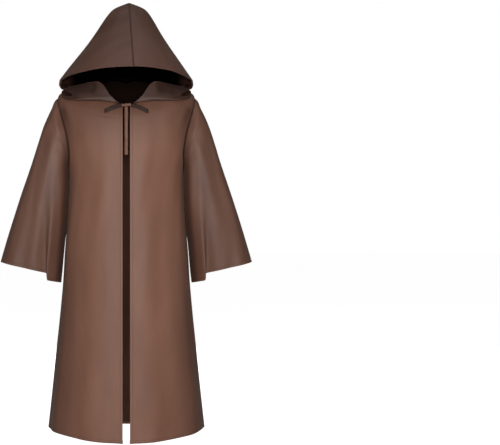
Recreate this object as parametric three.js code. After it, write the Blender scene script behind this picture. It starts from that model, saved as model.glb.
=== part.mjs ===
// A hooded cape with two wide sleeves, open down the front and tied at the neck, in the hollow form
// that it keeps when it is worn. Millimetres, X to the right, the front faces -Y, Z up. The origin
// is in the middle of the neckline, where the wearer's neck and shoulders hold the cape up.
import * as THREE from 'three';

// Driving dimensions
const clothWall = 2;
const seamGap = 0.3;
const frontGap = 26;
const tapeWidth = 12;
const tapeWall = 2;

// The body, one row for each ring round it. side is how far out and how high the ring is at the
// shoulder or side seam, front and back are its middle before and behind, round is 2 for an
// ellipse and more where the ring is fuller at its corners.
const bodyRings = [
  { name: 'neckline',      sideX:  97, sideZ:    12, frontY: -120, frontZ:   -91, backY: 107, backZ:    33, round: 2.1 },
  { name: 'inner shoulder', sideX: 165, sideZ:    -2, frontY: -128, frontZ:  -103, backY: 112, backZ:    24, round: 2.2 },
  { name: 'outer shoulder', sideX: 228, sideZ:   -28, frontY: -136, frontZ:  -121, backY: 117, backZ:     7, round: 2.3 },
  { name: 'shoulder tip',  sideX: 253, sideZ:   -54, frontY: -142, frontZ:  -142, backY: 120, backZ:   -14, round: 2.3 },
  { name: 'upper armhole', sideX: 250, sideZ:  -120, frontY: -150, frontZ:  -190, backY: 124, backZ:   -75, round: 2.4 },
  { name: 'chest',         sideX: 238, sideZ:  -190, frontY: -157, frontZ:  -245, backY: 128, backZ:  -150, round: 2.4 },
  { name: 'lower armhole', sideX: 222, sideZ:  -265, frontY: -163, frontZ:  -300, backY: 131, backZ:  -235, round: 2.4 },
  { name: 'under the arm', sideX: 212, sideZ:  -335, frontY: -167, frontZ:  -350, backY: 133, backZ:  -320, round: 2.4 },
  { name: 'ribs',          sideX: 213, sideZ:  -430, frontY: -171, frontZ:  -440, backY: 137, backZ:  -425, round: 2.4 },
  { name: 'waist',         sideX: 219, sideZ:  -520, frontY: -174, frontZ:  -528, backY: 144, backZ:  -520, round: 2.4 },
  { name: 'hips',          sideX: 228, sideZ:  -620, frontY: -178, frontZ:  -630, backY: 153, backZ:  -625, round: 2.4 },
  { name: 'thighs',        sideX: 235, sideZ:  -730, frontY: -182, frontZ:  -742, backY: 163, backZ:  -738, round: 2.3 },
  { name: 'above the knee', sideX: 247, sideZ:  -860, frontY: -187, frontZ:  -875, backY: 174, backZ:  -872, round: 2.3 },
  { name: 'knee',          sideX: 261, sideZ:  -990, frontY: -191, frontZ: -1010, backY: 184, backZ: -1008, round: 2.2 },
  { name: 'calf',          sideX: 275, sideZ: -1125, frontY: -196, frontZ: -1148, backY: 193, backZ: -1148, round: 2.2 },
  { name: 'hem',           sideX: 290, sideZ: -1265, frontY: -201, frontZ: -1295, backY: 201, backZ: -1292, round: 2.1 },
];
const tipRow = 3;
const underarmRow = 7;
const armholeSpread = THREE.MathUtils.degToRad(29);

// A sleeve, one row for each ring down it. outer and inner are the ring's ends away from and beside
// the body, seen from the front, and front and back are how far it stands before and behind.
const sleeveRings = [
  { name: 'sleeve head', outerX: 276, outerZ:  -95, innerX: 216, innerZ: -360, frontY: -92, backY: 82 },
  { name: 'upper arm',   outerX: 307, outerZ: -165, innerX: 216, innerZ: -428, frontY: -98, backY: 84 },
  { name: 'above elbow', outerX: 353, outerZ: -308, innerX: 222, innerZ: -512, frontY: -98, backY: 82 },
  { name: 'elbow',       outerX: 395, outerZ: -432, innerX: 230, innerZ: -588, frontY: -94, backY: 78 },
  { name: 'forearm',     outerX: 432, outerZ: -548, innerX: 236, innerZ: -660, frontY: -88, backY: 74 },
  { name: 'cuff',        outerX: 464, outerZ: -658, innerX: 241, innerZ: -709, frontY: -82, backY: 68 },
];
const sleeveRound = 2.4;
const underarmEase = 2;

// The upper hood, closed all round, one row for each ring from the rim over the face to the tip.
const hoodRings = [
  { name: 'rim',    sideX: 243, sideY: -40, sideZ:   8, frontY: -180, frontZ:  43, backY: 168, backZ: 128, round: 2.0 },
  { name: 'brow',   sideX: 221, sideY:  -8, sideZ:  44, frontY: -149, frontZ:  84, backY: 167, backZ: 152, round: 2.0 },
  { name: 'temple', sideX: 190, sideY:  12, sideZ:  90, frontY: -113, frontZ: 127, backY: 161, backZ: 182, round: 2.0 },
  { name: 'crown',  sideX: 157, sideY:  23, sideZ: 138, frontY:  -78, frontZ: 168, backY: 149, backZ: 210, round: 2.0 },
  { name: 'top',    sideX: 122, sideY:  31, sideZ: 192, frontY:  -40, frontZ: 212, backY: 127, backZ: 240, round: 2.0 },
  { name: 'peak',   sideX:  84, sideY:  36, sideZ: 251, frontY:   -4, frontZ: 258, backY:  99, backZ: 268, round: 2.0 },
  { name: 'tip',    sideX:  55, sideY:  38, sideZ: 284, frontY:   20, frontZ: 285, backY:  73, backZ: 289, round: 2.0 },
  { name: 'point',  sideX:   0, sideY:  40, sideZ: 307, frontY:   40, frontZ: 307, backY:  40, backZ: 307, round: 2.0 },
];
const cornerAngle = THREE.MathUtils.degToRad(78);
const hoodLean = { tip: 12, seam: 26, tipZ: 307, tipY: 40, reach: 220, spread: 120, fromZ: 45 };

// The lower hood, one row for each line from the edge at the face, past the cheek, the side and the
// nape, to the seam behind. Above the last row comes the rim, below the first the fold that lies
// on the shoulders.
const hoodLines = [
  { name: 'collar',   edge: [ 58, -124, -54], cheek: [168, -110, -60], side: [232,  2, -16], nape: [150, 118, 22], back: [0, 144, 48] },
  { name: 'collar top', edge: [108, -100,  -1], cheek: [194,  -76, -24], side: [235, 14,  -9], nape: [152, 126, 36], back: [0, 158, 68] },
  { name: 'corner',   edge: [231,  -44, -26], cheek: [239,    8,  -5], side: [198, 86,  22], nape: [112, 142, 64], back: [0, 166, 94] },
];

// Where the hood's cloth folds back on the shoulders, as a place on the body: angle is counted from
// the middle of the front, row is a place in bodyRings, lift is how far it stands off the body.
const collarFold = [
  { angle:  12, row: 0.10, lift: 5 },
  { angle:  24, row: 0.70, lift: 7 },
  { angle:  44, row: 1.90, lift: 7 },
  { angle:  60, row: 2.55, lift: 5 },
  { angle:  76, row: 2.15, lift: 4 },
  { angle:  92, row: 1.85, lift: 4 },
  { angle: 120, row: 1.45, lift: 8 },
  { angle: 150, row: 0.60, lift: 10 },
  { angle: 180, row: 0.20, lift: 10 },
];

// The main folds. On the body: a trough that a sleeve pulls into the front beside its armhole.
const armholeTrough = { topRow: 3.2, lowRow: 6.6, away: 0.16, spread: 0.09, depth: 7 };

// On a sleeve: one deep fold down its front that laps over itself towards the cuff, and a soft
// trough down its back. where is the place round the sleeve, 0 at the outer and 1 at the inner end.
const sleeveLap = { where: 0.68, slant: 0.035, spread: 0.045, topRow: 1.4, step: 22, lap: 17, drop: 25 };
const sleeveTrough = { where: 0.70, spread: 0.13, depth: 9 };

// Reads a table between its rows: place 2.5 is half-way from row 2 to row 3, on a smooth curve.
function readRow(rows, place) {
  const last = rows.length - 1;
  const row = Math.max(0, Math.min(Math.floor(place), last - 1));
  const t = place - row;
  const near = (step) => rows[Math.max(0, Math.min(last, row + step))];
  const smooth = (a, b, c, d) =>
    b + 0.5 * t * (c - a + t * (2 * a - 5 * b + 4 * c - d + t * (3 * (b - c) + d - a)));
  const result = {};
  for (const key of Object.keys(rows[0])) {
    const values = [-1, 0, 1, 2].map((step) => near(step)[key]);
    if (typeof values[0] === 'number') result[key] = smooth(...values);
    if (Array.isArray(values[0])) {
      result[key] = values[0].map((_, axis) => smooth(...values.map((point) => point[axis])));
    }
  }
  return result;
}

function smoothStep(from, to, value) {
  return THREE.MathUtils.smoothstep(value, from, to);
}

// A soft hump of height 1 in the middle that is gone at about twice its spread.
function hump(offset, spread) {
  return Math.exp(-((offset / spread) ** 2) / 2);
}

// A place on a ring: angle 0 is its front, a quarter turn its side and a half turn its back.
function ringPoint(ring, angle) {
  const s = Math.sin(angle);
  const c = Math.cos(angle);
  const reach = (Math.abs(s) ** ring.round + Math.abs(c) ** ring.round) ** (-1 / ring.round);
  const sideY = ring.sideY ?? 0;
  const middleY = c > 0 ? ring.frontY : ring.backY;
  const middleZ = c > 0 ? ring.frontZ : ring.backZ;
  return new THREE.Vector3(
    ring.sideX * s * reach,
    sideY + (middleY - sideY) * Math.abs(c) * reach,
    ring.sideZ + (middleZ - ring.sideZ) * c * c,
  );
}

// How far the armhole reaches to each side of the shoulder and side seam, as an angle.
function armholeAngle(row) {
  const middle = (tipRow + underarmRow) / 2;
  const half = (underarmRow - tipRow) / 2;
  const off = (row - middle) / half;
  return Math.abs(off) < 1 ? armholeSpread * Math.sqrt(1 - off * off) : 0;
}

function bodyShape(row, angle) {
  const point = ringPoint(readRow(bodyRings, row), angle);
  const fold = armholeTrough;
  const along = smoothStep(fold.topRow, fold.topRow + 1, row) * (1 - smoothStep(fold.lowRow - 2, fold.lowRow, row));
  const beside = Math.PI / 2 - armholeAngle(row) - fold.away;
  point.y += fold.depth * along * hump(angle - beside, fold.spread);
  return point;
}

// The body's surface at a place, moved out along its own normal by lift.
function bodyPoint(row, angle, lift = 0) {
  const step = 0.01;
  const point = bodyShape(row, angle);
  const down = bodyShape(row + step, angle).sub(bodyShape(row - step, angle));
  const round = bodyShape(row, angle + step).sub(bodyShape(row, angle - step));
  const normal = down.cross(round).normalize();
  return { point: point.addScaledVector(normal, lift), normal };
}

// A sheet of cloth: the points of its outer face and the triangles between them. Points that
// coincide are one point, so grids that share a line are joined along it.
function newSheet() {
  return { points: [], normals: [], triangles: [], index: new Map() };
}

function addPoint(sheet, point, normal) {
  const key = [point.x, point.y, point.z].map((value) => value.toFixed(3)).join();
  if (!sheet.index.has(key)) {
    sheet.index.set(key, sheet.points.length);
    sheet.points.push(point.clone());
    sheet.normals.push(normal ? normal.clone() : null);
  }
  return sheet.index.get(key);
}

// Adds a grid of points, whose rows go down the cloth and whose columns go from the front round the
// wearer's left to the back. closed joins the last column to the first.
function addGrid(sheet, rows, closed = false) {
  const ids = rows.map((row) => row.map((cell) => addPoint(sheet, cell.point ?? cell, cell.normal)));
  const columns = ids[0].length;
  for (let r = 0; r + 1 < ids.length; r += 1) {
    for (let c = 0; c + (closed ? 0 : 1) < columns; c += 1) {
      const next = (c + 1) % columns;
      const [a, b, d, e] = [ids[r][c], ids[r + 1][c], ids[r + 1][next], ids[r][next]];
      for (const triangle of [[a, b, d], [a, d, e]]) {
        if (new Set(triangle).size === 3) sheet.triangles.push(triangle);
      }
    }
  }
}

// Gives each point of a sheet the mean normal of its triangles, unless it has one already.
function fillNormals(sheet) {
  const sums = sheet.points.map(() => new THREE.Vector3());
  for (const [a, b, c] of sheet.triangles) {
    const ab = sheet.points[b].clone().sub(sheet.points[a]);
    const ac = sheet.points[c].clone().sub(sheet.points[a]);
    const face = ab.cross(ac);
    for (const id of [a, b, c]) sums[id].add(face);
  }
  sums.forEach((sum, id) => {
    sheet.normals[id] = sheet.normals[id] ?? sum.normalize();
  });
}

// Gives a sheet its thickness, inwards from its outer face, and closes it along all its edges.
function wallFrom(sheet, thickness = clothWall) {
  fillNormals(sheet);
  const count = sheet.points.length;
  const inner = sheet.points.map((point, id) => point.clone().addScaledVector(sheet.normals[id], -thickness));
  const positions = [...sheet.points, ...inner].flatMap((point) => point.toArray());
  const faces = [];
  const open = new Map();
  for (const [a, b, c] of sheet.triangles) {
    faces.push([a, b, c], [a + count, c + count, b + count]);
    for (const [from, to] of [[a, b], [b, c], [c, a]]) {
      if (open.has(`${to},${from}`)) open.delete(`${to},${from}`);
      else open.set(`${from},${to}`, [from, to]);
    }
  }
  for (const [from, to] of open.values()) {
    faces.push([to, from, from + count], [to, from + count, to + count]);
  }
  const geometry = new THREE.BufferGeometry();
  geometry.setAttribute('position', new THREE.Float32BufferAttribute(positions, 3));
  geometry.setIndex(faces.flat());
  geometry.computeVertexNormals();
  return geometry;
}

// The same rows on the other side of the body: X changes sign and the columns run the other way.
function mirrored(rows) {
  const flip = (vector) => new THREE.Vector3(-vector.x, vector.y, vector.z);
  return rows.map((row) => row.map((cell) => (
    cell.point ? { point: flip(cell.point), normal: flip(cell.normal) } : flip(cell)
  )).reverse());
}

function wallFromGrids(grids, closed = false, thickness = clothWall) {
  const sheet = newSheet();
  for (const rows of grids) addGrid(sheet, rows, closed);
  return wallFrom(sheet, thickness);
}

// The rows at which every panel of the body is cut into facets: close together round the armhole,
// whose rows a sleeve meets point to point, and further apart down the skirt.
const armholeSteps = 12;
const armholeRows = Array.from({ length: armholeSteps + 1 }, (_, step) => (
  tipRow + (underarmRow - tipRow) * (1 - Math.cos((Math.PI * step) / armholeSteps)) / 2
));
const shoulderRows = [0, 0.5, 1, 1.5, 2, 2.5];
const skirtRows = [7.5, 8, 9, 10, 11, 12, 13, 14, 14.5, 15];
const panelRows = [...shoulderRows, ...armholeRows, ...skirtRows];
const frontColumns = 10;
const backColumns = 9;

// The angle at which a panel stops for its seam, half a gap before the line of the seam itself.
function seamAngle(row, middleY) {
  return Math.PI / 2 - armholeAngle(row) - seamGap / 2 / Math.abs(middleY);
}

function evenly(from, to, parts) {
  return Array.from({ length: parts + 1 }, (_, step) => from + ((to - from) * step) / parts);
}

function frontAngles(row) {
  const ring = readRow(bodyRings, row);
  return evenly(frontGap / 2 / ring.sideX, seamAngle(row, ring.frontY), frontColumns);
}

function backAngles(row) {
  const ring = readRow(bodyRings, row);
  return evenly(Math.PI - seamAngle(row, ring.backY), Math.PI, backColumns);
}

// One front, from its turned edge at the middle to the shoulder seam, the armhole and the side seam.
function frontPanel() {
  return panelRows.map((row) => frontAngles(row).map((angle) => bodyPoint(row, angle)));
}

// The back, in one piece from seam to seam.
function backPanel() {
  const half = panelRows.map((row) => backAngles(row).map((angle) => bodyPoint(row, angle)));
  for (const row of half) row.at(-1).normal.setX(0).normalize();
  return half.map((row, index) => [...row, ...mirrored(half)[index].slice(1)]);
}

// A sleeve's edge on the armhole, turn 0 at the shoulder tip, a half turn under the arm. It stands
// a seam's gap off the panels and as far inside the armhole.
function sleeveHead(turn) {
  const row = tipRow + (underarmRow - tipRow) * (1 - Math.cos(turn)) / 2;
  const away = armholeSpread * Math.sin(turn);
  const lift = seamGap + underarmEase * smoothStep(0.4, 1, (1 - Math.cos(turn)) / 2);
  const edge = bodyPoint(row, Math.PI / 2 - away, lift);
  const middle = bodyPoint((tipRow + underarmRow) / 2, Math.PI / 2).point;
  const inwards = middle.sub(edge.point).projectOnPlane(edge.normal).normalize();
  return edge.point.addScaledVector(inwards, seamGap);
}

// A place on a sleeve below its head. turn runs from the outer end over the front to the inner end
// and back behind, and the folds move the plain ring's point.
function sleevePoint(row, turn) {
  const ring = readRow(sleeveRings, row);
  const cuffRow = sleeveRings.length - 1;
  const strength = smoothStep(sleeveLap.topRow, cuffRow, row);
  const onFront = turn <= Math.PI;
  const where = onFront ? turn / Math.PI : (2 * Math.PI - turn) / Math.PI;
  const slanted = sleeveLap.where - sleeveLap.slant * (cuffRow - row) * smoothStep(-1, 1.5, row);
  const bent = Math.PI * where ** (Math.log(slanted) / Math.log(sleeveLap.where));
  const c = Math.cos(onFront ? bent : turn);
  const s = Math.sin(onFront ? bent : turn);
  const reach = (Math.abs(s) ** sleeveRound + Math.abs(c) ** sleeveRound) ** (-1 / sleeveRound);
  const half = new THREE.Vector3(ring.outerX - ring.innerX, 0, ring.outerZ - ring.innerZ).divideScalar(2);
  const point = new THREE.Vector3((ring.outerX + ring.innerX) / 2, 0, (ring.outerZ + ring.innerZ) / 2);
  point.addScaledVector(half, c * reach);
  point.y += (onFront ? ring.frontY : -ring.backY) * s * reach;
  if (onFront) {
    const off = (where - sleeveLap.where) / sleeveLap.spread;
    const swing = off * Math.exp(-(off * off) / 2);
    point.y -= sleeveLap.step * strength * swing;
    point.addScaledVector(half.clone().normalize(), sleeveLap.lap * strength * swing);
    point.z -= sleeveLap.drop * strength * smoothStep(-1, 1, off);
  } else {
    point.y -= sleeveTrough.depth * hump(where - sleeveTrough.where, sleeveTrough.spread);
    point.z -= sleeveLap.drop * strength * smoothStep(0.8, 1, where);
  }
  return point;
}

// One sleeve, a closed round of columns that are closest together at the lapped fold. lapColumns are
// counted in spreads of the fold, and an even column that comes too near one of them is left out.
const lapColumns = [-2.4, -1.5, -1, -0.5, 0, 0.5, 1, 1.5, 2.4];
const leastTurn = 0.04;

function sleeve() {
  const even = Array.from({ length: 2 * armholeSteps }, (_, step) => (Math.PI * step) / armholeSteps);
  const atLap = lapColumns.map((off) => Math.PI * (sleeveLap.where + off * sleeveLap.spread));
  const clear = even.filter((turn) => atLap.every((other) => Math.abs(turn - other) > leastTurn));
  const turns = [...clear, ...atLap].sort((a, b) => a - b);
  const rows = evenly(0, sleeveRings.length - 1, 2 * (sleeveRings.length - 1));
  return [turns.map(sleeveHead), ...rows.map((row) => turns.map((turn) => sleevePoint(row, turn)))];
}

// The hood stands a little to the wearer's left, and its seam runs off the middle at the face.
function hoodTwist(point) {
  const up = Math.max(0, point.z - hoodLean.fromZ) / hoodLean.tipZ;
  const forward = THREE.MathUtils.clamp((hoodLean.tipY - point.y) / hoodLean.reach, 0, 1);
  const seamShare = forward * hump(point.x, hoodLean.spread) * smoothStep(0, hoodLean.fromZ, point.z);
  point.x += hoodLean.tip * up + hoodLean.seam * seamShare;
}

// The places at which half of the hood is cut into facets. The upper rings run from the tip to the
// rim. The lower lines run from the rim to the fold, and the hidden layer from there to the neckline.
const rimColumns = 7;
const upperPlaces = [7, 6.5, 6, 5.5, 5, 4.5, 4, 3, 2, 1, 0.5, 0];
const lowerPlaces = [0, 0.5, 1, 1.33, 1.67, 2, 2.33, 2.67, 3, 3.4, 3.75, 4];
const underWays = [0.2, 0.4, 0.6, 0.8, 1];

// The hood meets the neckline at the panels' own points, from the second one of the front on.
const collarAngles = [...frontAngles(0).slice(1), ...backAngles(0).slice(1)];
const hoodStart = collarAngles[0];
const hoodShares = collarAngles.map((angle) => (angle - hoodStart) / (Math.PI - hoodStart));

function hoodColumns() {
  const before = evenly(0, cornerAngle, rimColumns).slice(0, -1);
  const behind = hoodShares.map((share) => cornerAngle + (Math.PI - cornerAngle) * share);
  return [...before, ...behind];
}

function onSeam(point) {
  return new THREE.Vector3(Math.max(point.x, seamGap / 2), point.y, point.z);
}

// The upper rings are closed to the centre seam in front and behind.
function upperHood() {
  return upperPlaces.map((place) => {
    const ring = readRow(hoodRings, place);
    return hoodColumns().map((angle) => onSeam(ringPoint(ring, angle)));
  });
}

// One line of the lower hood at a share of its way from the face to the seam behind.
function hoodLinePoint(line, share) {
  const stops = [line.edge, line.cheek, line.side, line.nape, line.back].map((at) => ({ at }));
  return new THREE.Vector3(...readRow(stops, share * (stops.length - 1)).at);
}

// A place on the hidden layer that runs over the body from the fold, way 0, to the neckline, way 1.
function collarUnderPoint(share, way) {
  const angle = hoodStart + (Math.PI - hoodStart) * share;
  const degrees = THREE.MathUtils.radToDeg(angle);
  let next = collarFold.findIndex((row) => row.angle >= degrees);
  next = Math.max(1, next < 0 ? collarFold.length - 1 : next);
  const [a, b] = [collarFold[next - 1], collarFold[next]];
  const fold = readRow(collarFold, next - 1 + (degrees - a.angle) / (b.angle - a.angle));
  const lift = THREE.MathUtils.lerp(fold.lift, seamGap, way ** 3);
  return bodyPoint(fold.row * (1 - way), angle, lift).point;
}

// The lower lines are open at the face, and their top one is the rim from its corner backwards.
function lowerHood() {
  const shares = hoodShares;
  const lines = [
    shares.map((share) => ringPoint(hoodRings[0], cornerAngle + (Math.PI - cornerAngle) * share)),
    ...[...hoodLines].reverse().map((line) => shares.map((share) => hoodLinePoint(line, share))),
    shares.map((share) => collarUnderPoint(share, 0)),
    shares.map((share) => collarUnderPoint(share, 1)),
  ];
  const outside = lowerPlaces.map((place) => shares.map((_, column) => {
    const stops = lines.map((line) => ({ at: line[column].toArray() }));
    return onSeam(new THREE.Vector3(...readRow(stops, place).at));
  }));
  const under = underWays.map((way) => shares.map((share) => onSeam(collarUnderPoint(share, way))));
  return [...outside, ...under];
}

function hoodHalf(mirror) {
  const sheet = newSheet();
  for (const rows of [upperHood(), lowerHood()]) addGrid(sheet, mirror ? mirrored(rows) : rows);
  fillNormals(sheet);
  sheet.points.forEach((point, id) => {
    if (Math.abs(point.x) <= seamGap / 2 + 0.001) sheet.normals[id].setX(0).normalize();
    hoodTwist(point);
  });
  return wallFrom(sheet);
}

// A length of the tie: flat tape along a smooth path, its width turned to lie along across.
function tape(path, across, steps) {
  const curve = new THREE.CatmullRomCurve3(path.map((at) => new THREE.Vector3(...at)));
  const wide = new THREE.Vector3(...across).normalize();
  const rows = [];
  for (let step = 0; step <= steps; step += 1) {
    const middle = curve.getPointAt(step / steps);
    rows.push([-0.5, 0, 0.5].map((side) => middle.clone().addScaledVector(wide, side * tapeWidth)));
  }
  return wallFromGrids([rows], false, tapeWall);
}

// The knot lies between the two fronts. Every tail and loop ends a little off it, and a loop comes
// back to it on the inside of its own beginning.
const knotMiddle = [0, -127.2, -90];
const knotHalf = [21, 7, 7];
const knotFacets = [14, 10];

function knot() {
  const geometry = new THREE.SphereGeometry(1, ...knotFacets);
  geometry.scale(...knotHalf);
  geometry.translate(...knotMiddle);
  return geometry;
}

const tailSteps = 10;
const tails = {
  tie_tail_short: [[0, -130.2, -96.9], [0.5, -137, -125], [0, -145, -160], [0, -153, -216]],
  tie_tail_long: [[0, -126.2, -97.2], [-0.5, -132, -125], [0, -140, -170], [0, -149, -225], [0, -157, -271]],
};
const loopSteps = 28;
const loops = {
  tie_loop_right: [
    [18, -133.2, -90], [50, -143, -100], [70, -148, -111], [78, -145.5, -114], [72, -140.5, -109.5],
    [50, -137, -98], [22.3, -129, -89],
  ],
  tie_loop_left: [
    [-17.6, -132.9, -90], [-48, -143, -100], [-69, -148, -110], [-77, -145.5, -113], [-71, -140.5, -108.5],
    [-48, -137, -97], [-21.6, -128.4, -89],
  ],
};

const cloth = new THREE.MeshStandardMaterial({ color: 0x755544, roughness: 0.72, metalness: 0 });
const hoodCloth = new THREE.MeshStandardMaterial({ color: 0x6a4c3c, roughness: 0.72, metalness: 0 });
const group = new THREE.Group();

function addPiece(name, geometry, material) {
  const mesh = new THREE.Mesh(geometry, material);
  mesh.name = name;
  group.add(mesh);
}

addPiece('back', wallFromGrids([backPanel()]), cloth);
addPiece('front_right', wallFromGrids([frontPanel()]), cloth);
addPiece('front_left', wallFromGrids([mirrored(frontPanel())]), cloth);
addPiece('sleeve_right', wallFromGrids([sleeve()], true), cloth);
addPiece('sleeve_left', wallFromGrids([mirrored(sleeve())], true), cloth);
addPiece('hood_right', hoodHalf(false), hoodCloth);
addPiece('hood_left', hoodHalf(true), hoodCloth);
addPiece('tie_knot', knot(), cloth);
for (const [name, path] of Object.entries(tails)) addPiece(name, tape(path, [1, 0, 0], tailSteps), cloth);
for (const [name, path] of Object.entries(loops)) addPiece(name, tape(path, [0, 0.3, 1], loopSteps), cloth);

export default group;
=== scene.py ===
# A hooded cape with two wide sleeves and a tie at the neck, in the hollow form that it keeps when
# it is worn. The sections are the camera, the tie and its knot, the back, the fronts, the sleeves,
# the hood and the studio. Lengths are in metres. X is to the right, the front faces -Y.
import math

import bmesh
import bpy
import numpy as np
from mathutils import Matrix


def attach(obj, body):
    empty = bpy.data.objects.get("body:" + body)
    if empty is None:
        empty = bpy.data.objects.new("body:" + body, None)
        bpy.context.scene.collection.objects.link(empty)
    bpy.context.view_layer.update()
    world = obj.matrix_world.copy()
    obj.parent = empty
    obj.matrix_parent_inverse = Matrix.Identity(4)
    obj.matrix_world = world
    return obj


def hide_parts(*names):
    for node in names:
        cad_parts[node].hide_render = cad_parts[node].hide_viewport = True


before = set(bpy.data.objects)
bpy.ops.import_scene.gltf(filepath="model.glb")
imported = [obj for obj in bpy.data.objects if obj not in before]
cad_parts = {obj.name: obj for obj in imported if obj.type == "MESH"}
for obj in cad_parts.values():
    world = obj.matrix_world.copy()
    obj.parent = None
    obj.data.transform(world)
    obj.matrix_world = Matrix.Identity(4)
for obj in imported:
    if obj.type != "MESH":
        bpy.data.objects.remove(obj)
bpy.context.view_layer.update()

# Camera
# A long lens at half the garment's height, level with the ground, as clothes are photographed for
# a catalogue. The cape stands left of the middle, so the lens is shifted and isn't turned.
camera_data = bpy.data.cameras.new("camera")
camera = bpy.data.objects.new("camera", camera_data)
bpy.context.scene.collection.objects.link(camera)
EYE_DISTANCE = 4.5
EYE_Z = -0.5
# The picture's width, the lens's length, the middle of the picture and the place of the cape's middle
# at the eye's height, all in pixels
PICTURE_WIDTH = 500
LENS_LENGTH = 1216
PICTURE_MIDDLE = (250.0, 222.5)
CAPE_PLACE = (126.3, 219.0)
camera.location = (0.0, -EYE_DISTANCE, EYE_Z)
camera.rotation_euler = (math.radians(90), 0.0, 0.0)
camera_data.sensor_width = 36.0
camera_data.lens = LENS_LENGTH / PICTURE_WIDTH * camera_data.sensor_width
camera_data.shift_x = (PICTURE_MIDDLE[0] - CAPE_PLACE[0]) / PICTURE_WIDTH
camera_data.shift_y = (CAPE_PLACE[1] - PICTURE_MIDDLE[1]) / PICTURE_WIDTH
bpy.context.scene.camera = camera

# Tie
# Two narrow strips of the cape's own cloth, folded lengthwise and stitched into flat tape. They are
# sewn in at the neck and tied in a bow, so two tails hang down and two loops lie on the fronts.
TAPE_WIDTH = 0.012
TAPE_THICKNESS = 0.0018
TIE_COLOUR = (0.130, 0.058, 0.038, 1.0)
TIE_LIGHT = (0.170, 0.080, 0.053, 1.0)
# TIE_SHADE is painted shade, the colour that the loops are darkened towards
TIE_SHADE = (0.012, 0.006, 0.004, 1.0)
# How far all stitching runs from a turned edge, and the width of one thread of the weave
STITCH_LINE = 0.009
THREAD_WIDTH = 0.0011


def fill(tree, node, **inputs):
    """Sets some of a shader node's sockets: a node's output is linked, a value is set."""
    for name, value in inputs.items():
        socket = node.inputs[int(name[1:]) if name[1:].isdigit() else name.replace("_", " ")]
        if isinstance(value, bpy.types.NodeSocket):
            tree.links.new(value, socket)
        else:
            socket.default_value = value
    return node


def new_node(tree, kind, **inputs):
    return fill(tree, tree.nodes.new(kind), **inputs)


def use_group(tree, group, **inputs):
    made = tree.nodes.new("ShaderNodeGroup")
    made.node_tree = group
    return fill(tree, made, **inputs)


def point_mark(tree, label):
    """The value that the points of a mesh carry under this name."""
    made = tree.nodes.new("ShaderNodeAttribute")
    made.attribute_name = label
    return made.outputs["Fac"]


def new_material(name):
    material = bpy.data.materials.new(name)
    material.use_nodes = True
    return material, material.node_tree, material.node_tree.nodes["Principled BSDF"]


def maths(tree, operation, first, second=0.0):
    made = new_node(tree, "ShaderNodeMath", i0=first, i1=second)
    made.operation = operation
    return made.outputs[0]


def new_group(name, inputs, outputs):
    """An empty shader node group. inputs and outputs are (name, socket kind) pairs."""
    group = bpy.data.node_groups.new(name, "ShaderNodeTree")
    for label, kind in inputs:
        group.interface.new_socket(name=label, in_out="INPUT", socket_type=kind)
    for label, kind in outputs:
        group.interface.new_socket(name=label, in_out="OUTPUT", socket_type=kind)
    return group, group.nodes.new("NodeGroupInput").outputs, group.nodes.new("NodeGroupOutput").inputs


def make_weave():
    """Fine diagonal twill from a UV map in metres, with the uneven tone of dyed cloth."""
    tree, given, result = new_group(
        "twill weave",
        [("Cloth", "NodeSocketVector"), ("Thread", "NodeSocketFloat")],
        [("Height", "NodeSocketFloat"), ("Tone", "NodeSocketFloat"), ("Slub", "NodeSocketFloat")])
    place = new_node(tree, "ShaderNodeSeparateXYZ", Vector=given["Cloth"]).outputs
    across = maths(tree, "DIVIDE", place["X"], given["Thread"])
    down = maths(tree, "DIVIDE", place["Y"], given["Thread"])
    rib = maths(tree, "SINE", maths(tree, "MULTIPLY", maths(tree, "ADD", across, down), 2 * math.pi))
    pick = maths(tree, "SINE", maths(tree, "MULTIPLY", maths(tree, "SUBTRACT", across, down), math.pi))
    twill = maths(tree, "ADD", maths(tree, "MULTIPLY", rib, 0.35), maths(tree, "MULTIPLY", pick, 0.15))
    long_threads = new_node(tree, "ShaderNodeMapping", Vector=given["Cloth"], Scale=(260.0, 9.0, 1.0))
    slub = new_node(tree, "ShaderNodeTexNoise", Vector=long_threads.outputs[0], Scale=1.0, Detail=2.0)
    cloud = new_node(tree, "ShaderNodeMapping", Vector=given["Cloth"], Scale=(9.0, 3.0, 1.0))
    tone = new_node(tree, "ShaderNodeTexNoise", Vector=cloud.outputs[0], Scale=1.0, Detail=3.0)
    tree.links.new(maths(tree, "ADD", twill, slub.outputs[0]), result["Height"])
    tree.links.new(tone.outputs[0], result["Tone"])
    tree.links.new(slub.outputs[0], result["Slub"])
    return tree


def make_turned_edge():
    """Masks for the cloth beside an edge: the band from the edge to its stitching, and the groove
    that the stitching pulls. Distance is from the edge, in metres."""
    tree, given, result = new_group(
        "turned edge",
        [("Distance", "NodeSocketFloat"), ("Width", "NodeSocketFloat"), ("Groove", "NodeSocketFloat")],
        [("Band", "NodeSocketFloat"), ("Line", "NodeSocketFloat")])
    inside = maths(tree, "SUBTRACT", given["Width"], given["Distance"])
    band = new_node(tree, "ShaderNodeMapRange", Value=inside, From_Min=-0.0005, From_Max=0.0005)
    off = maths(tree, "DIVIDE", maths(tree, "ABSOLUTE", inside), given["Groove"])
    line = new_node(tree, "ShaderNodeMapRange", Value=off, From_Min=1.0, From_Max=0.0)
    tree.links.new(band.outputs[0], result["Band"])
    tree.links.new(line.outputs[0], result["Line"])
    return tree


weave_group = make_weave()
edge_group = make_turned_edge()


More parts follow.
